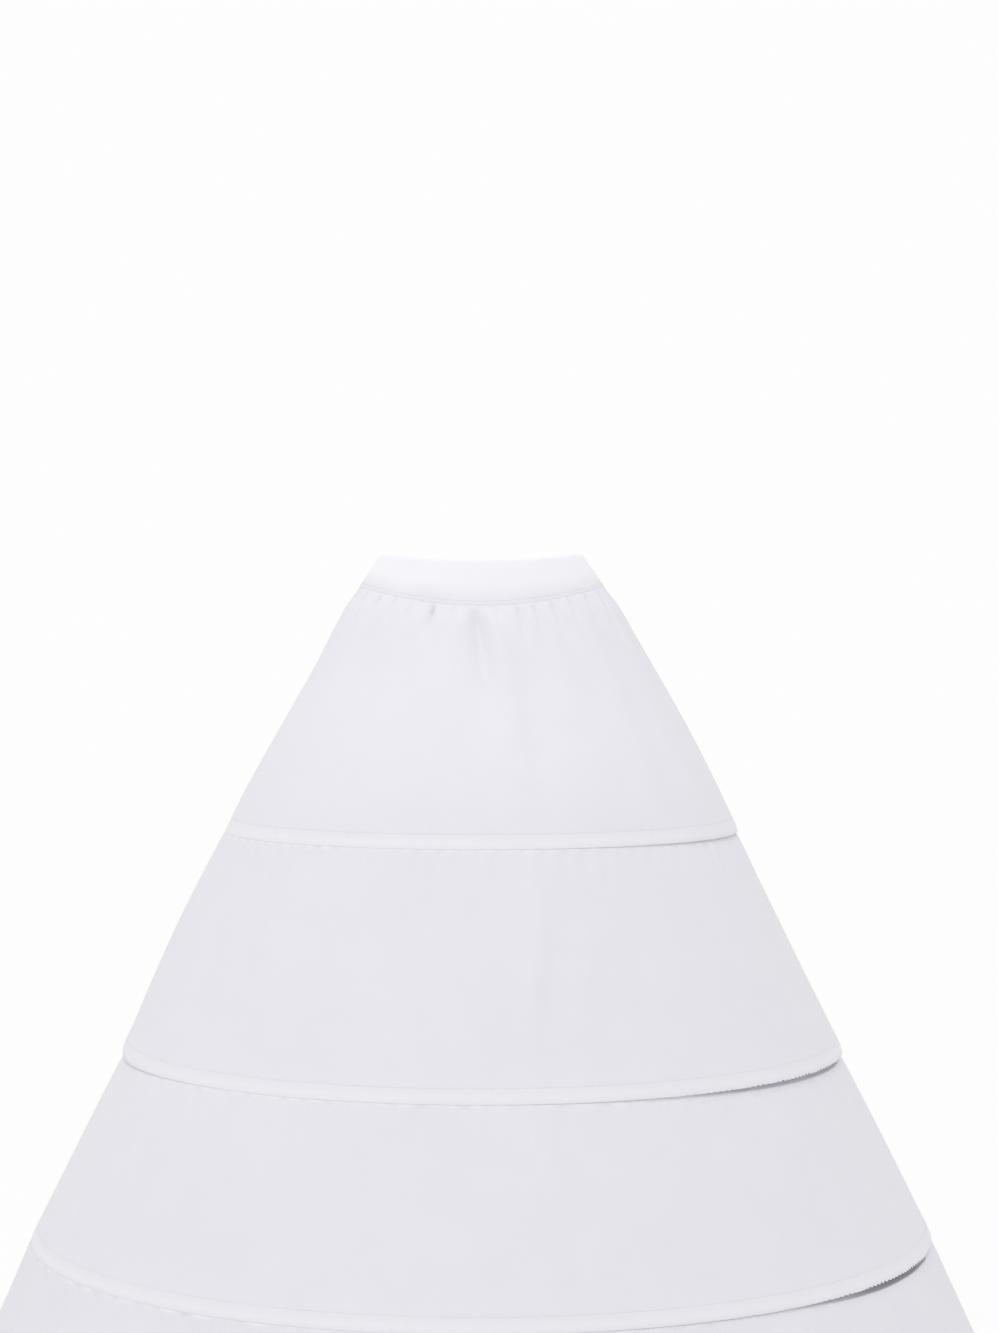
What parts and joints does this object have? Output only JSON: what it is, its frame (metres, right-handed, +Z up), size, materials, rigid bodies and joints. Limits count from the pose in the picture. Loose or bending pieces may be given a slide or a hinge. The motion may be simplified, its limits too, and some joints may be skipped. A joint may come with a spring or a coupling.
{
  "type": "crinoline cage",
  "caption": "White A-line hoop petticoat: cloth tiers held out by flat steel hoops in turned channels, gathered into a saddle-shaped waistband.",
  "frame": {"origin": "centre of the hem, on the plane that the hem stands on", "axes": "+Z up along the axis of the hoops, the front of the skirt faces -Y, +X to the right of someone who looks at the front"},
  "size_m": [1.22, 1.22, 0.99],
  "materials": {
    "skirt_cloth": "white smooth woven lining cloth, slight sheen",
    "band_cloth": "white smooth woven cloth, folded double",
    "elastic": "white ribbed woven elastic",
    "hoop_steel": "flat spring steel with a white coat",
    "joiner_steel": "crimped thin steel sleeve"
  },
  "bodies": {
    "root": {"waistband": "band_cloth", "waist_elastic": "elastic", "top_tier": "skirt_cloth", "second_tier": "skirt_cloth", "third_tier": "skirt_cloth", "hem_tier": "skirt_cloth", "hem_facing": "skirt_cloth", "top_hoop": "hoop_steel", "second_hoop": "hoop_steel", "third_hoop": "hoop_steel", "hem_hoop": "hoop_steel", "top_joiner": "joiner_steel", "second_joiner": "joiner_steel", "third_joiner": "joiner_steel", "hem_joiner": "joiner_steel"}
  },
  "joints": []
}
